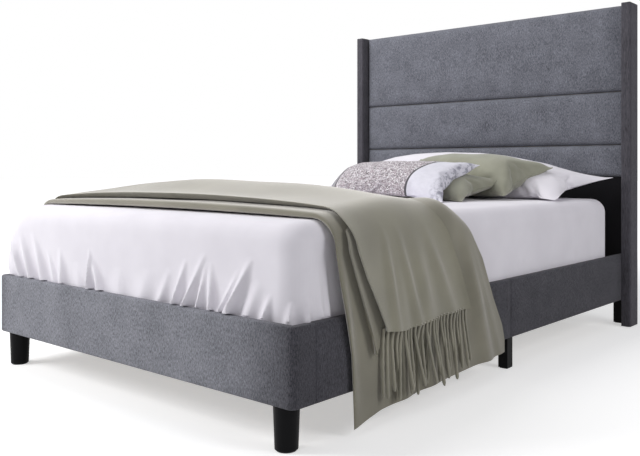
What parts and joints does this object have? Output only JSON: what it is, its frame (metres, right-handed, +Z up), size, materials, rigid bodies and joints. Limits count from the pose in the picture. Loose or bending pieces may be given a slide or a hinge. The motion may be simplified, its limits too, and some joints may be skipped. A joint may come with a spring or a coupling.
{
  "type": "upholstered bed with winged headboard",
  "caption": "Upholstered platform bed with a winged, channelled headboard, made up with a mattress, sheet, folded fringed throw and leaning pillows.",
  "frame": {"origin": "on the floor, under the middle of the bed's overall length and width", "axes": "+Z up, +Y towards the headboard, +X to the right as seen from the foot, which is the side with the long hanging end of the throw"},
  "size_m": [1.504, 2.0937, 1.385],
  "materials": {
    "grey_linen": "matte",
    "headboard_linen": "matte",
    "wing_linen": "matte",
    "plywood": "matte",
    "pine": "matte",
    "black_wood": "satin",
    "zinc_steel": "satin",
    "black_plastic": "matte",
    "grey_webbing": "matte",
    "black_cloth": "matte",
    "ticking": "matte",
    "white_cotton": "matte",
    "sage_cotton": "matte",
    "sage_throw": "matte",
    "patterned_cotton": "matte"
  },
  "bodies": {
    "frame": {"centre_beam_brackets": "zinc_steel", "centre_beam_foot_half": "pine", "centre_beam_head_half": "pine", "centre_legs": "black_wood", "floor_glides": "black_plastic", "foot_rail_board": "plywood", "foot_rail_cover": "grey_linen", "foot_return_blocks": "plywood", "front_leg_fixings": "zinc_steel", "headboard_backing_board": "plywood", "headboard_bolts": "zinc_steel", "headboard_cross_rails": "pine", "headboard_dust_cover": "black_cloth", "headboard_lining": "black_cloth", "headboard_lower_pad": "headboard_linen", "headboard_middle_pad": "headboard_linen", "headboard_upper_pad": "headboard_linen", "left_corner_joint_plate": "zinc_steel", "left_foot_side_board": "plywood", "left_foot_side_cover": "grey_linen", "left_foot_slat_cleat": "pine", "left_front_leg": "black_wood", "left_head_side_board": "plywood", "left_head_side_cover": "grey_linen", "left_head_slat_cleat": "pine", "left_headboard_bracket": "zinc_steel", "left_headboard_stile": "black_wood", "left_mid_joint_plate": "zinc_steel", "left_mid_leg": "black_wood", "left_wing_cover": "wing_linen", "left_wing_post": "pine", "leg_corner_blocks": "plywood", "rail_bolts": "zinc_steel", "right_corner_joint_plate": "zinc_steel", "right_foot_side_board": "plywood", "right_foot_side_cover": "grey_linen", "right_foot_slat_cleat": "pine", "right_front_leg": "black_wood", "right_head_side_board": "plywood", "right_head_side_cover": "grey_linen", "right_head_slat_cleat": "pine", "right_headboard_bracket": "zinc_steel", "right_headboard_stile": "black_wood", "right_mid_joint_plate": "zinc_steel", "right_mid_leg": "black_wood", "right_wing_cover": "wing_linen", "right_wing_post": "pine", "slat_screws": "zinc_steel", "slat_webbing": "grey_webbing", "slats": "pine"},
    "mattress": {"mattress_core": "ticking", "fitted_sheet": "white_cotton"},
    "throw": {"throw_lower_layer": "sage_throw", "throw_upper_layer": "sage_throw", "throw_fringe": "sage_throw"},
    "white_pillow": {"white_pillow": "white_cotton"},
    "sage_back_pillow": {"sage_back_pillow": "sage_cotton"},
    "sage_front_pillow": {"sage_front_pillow": "sage_cotton"},
    "patterned_pillow": {"patterned_pillow": "patterned_cotton"}
  },
  "joints": [
    {"name": "mattress_lift", "type": "slide", "parent": "frame", "child": "mattress", "axis": [0, 0, 1], "range_m": [0, 0.3]},
    {"name": "throw_lift", "type": "slide", "parent": "mattress", "child": "throw", "axis": [0, 0, 1], "range_m": [0, 0.2]},
    {"name": "white_pillow_lift", "type": "slide", "parent": "mattress", "child": "white_pillow", "axis": [0, 0, 1], "range_m": [0, 0.2]},
    {"name": "sage_back_pillow_lift", "type": "slide", "parent": "white_pillow", "child": "sage_back_pillow", "axis": [0, 0, 1], "range_m": [0, 0.15]},
    {"name": "sage_front_pillow_lift", "type": "slide", "parent": "sage_back_pillow", "child": "sage_front_pillow", "axis": [0, 0, 1], "range_m": [0, 0.15]},
    {"name": "patterned_pillow_lift", "type": "slide", "parent": "sage_front_pillow", "child": "patterned_pillow", "axis": [0, 0, 1], "range_m": [0, 0.15]}
  ]
}
